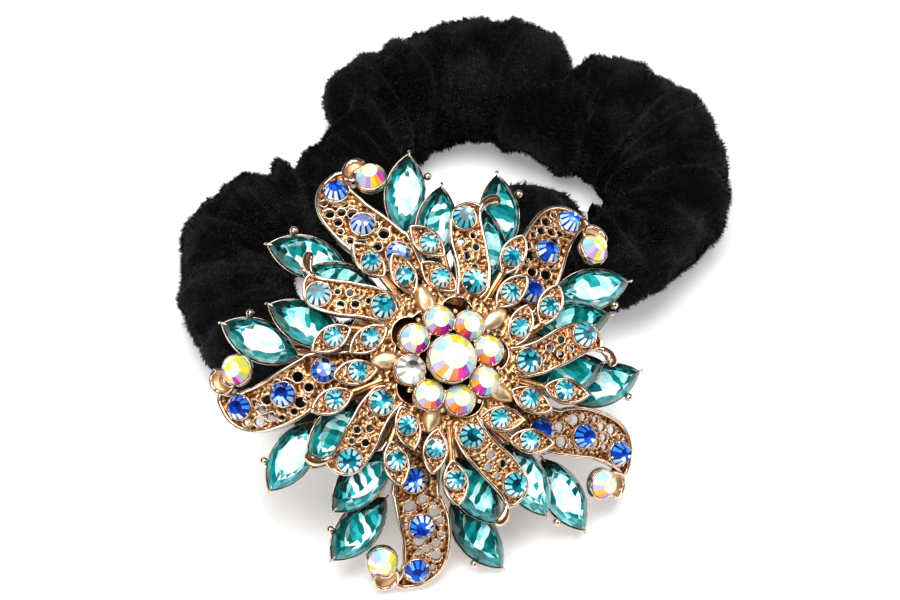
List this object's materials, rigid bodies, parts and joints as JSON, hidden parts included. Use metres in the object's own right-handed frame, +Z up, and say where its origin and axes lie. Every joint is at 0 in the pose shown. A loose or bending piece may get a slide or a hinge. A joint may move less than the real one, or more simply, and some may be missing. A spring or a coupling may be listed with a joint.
{
  "type": "jewelled hair tie",
  "caption": "Plush scrunchie with a large layered flower brooch of pierced gilt leaves and cut glass stones on its front.",
  "frame": {"origin": "middle of the underside of the whole tie's box, on the surface that it lies on", "axes": "+Z up from that surface, +Y from the brooch to the back of the scrunchie, +X to the right seen from the brooch's front"},
  "size_m": [0.0948, 0.1192, 0.0442],
  "materials": {
    "black_plush": "short crushed plush pile",
    "elastic": "woven elastic cord",
    "rose_gold": "bright cast, rose gold plated",
    "teal_crystal": "faceted, foil backed",
    "aurora_crystal": "faceted with an aurora coating, foil backed",
    "clear_crystal": "faceted, foil backed",
    "aqua_crystal": "faceted, foil backed",
    "sapphire_crystal": "faceted, foil backed"
  },
  "bodies": {
    "root": {"scrunchie_cover": "black_plush", "elastic_core": "elastic", "back_plate": "rose_gold", "marquise_setting": "rose_gold", "lower_leaf_casting": "rose_gold", "upper_leaf_casting": "rose_gold", "cluster_casting": "rose_gold", "centre_stone": "aurora_crystal", "cluster_stone_1": "aurora_crystal", "cluster_stone_2": "aurora_crystal", "cluster_stone_3": "aurora_crystal", "cluster_stone_4": "clear_crystal", "cluster_stone_5": "aurora_crystal", "cluster_stone_6": "aurora_crystal", "cluster_stone_7": "aurora_crystal", "cluster_stone_8": "aurora_crystal", "curl_stone_1": "aurora_crystal", "curl_stone_2": "aurora_crystal", "curl_stone_3": "aurora_crystal", "curl_stone_4": "aurora_crystal", "curl_stone_5": "aurora_crystal", "outer_marquise_1": "teal_crystal", "outer_marquise_2": "teal_crystal", "outer_marquise_3": "teal_crystal", "outer_marquise_4": "teal_crystal", "outer_marquise_5": "teal_crystal", "outer_marquise_6": "teal_crystal", "outer_marquise_7": "teal_crystal", "outer_marquise_8": "teal_crystal", "outer_marquise_9": "teal_crystal", "outer_marquise_10": "teal_crystal", "inner_marquise_1": "teal_crystal", "inner_marquise_2": "teal_crystal", "inner_marquise_3": "teal_crystal", "inner_marquise_4": "teal_crystal", "inner_marquise_5": "teal_crystal", "inner_marquise_6": "teal_crystal", "inner_marquise_7": "teal_crystal", "inner_marquise_8": "teal_crystal", "inner_marquise_9": "teal_crystal", "inner_marquise_10": "teal_crystal", "sapphire_stones": "sapphire_crystal", "leaf_stones": "aqua_crystal", "small_leaf_stones": "aqua_crystal"}
  },
  "joints": []
}
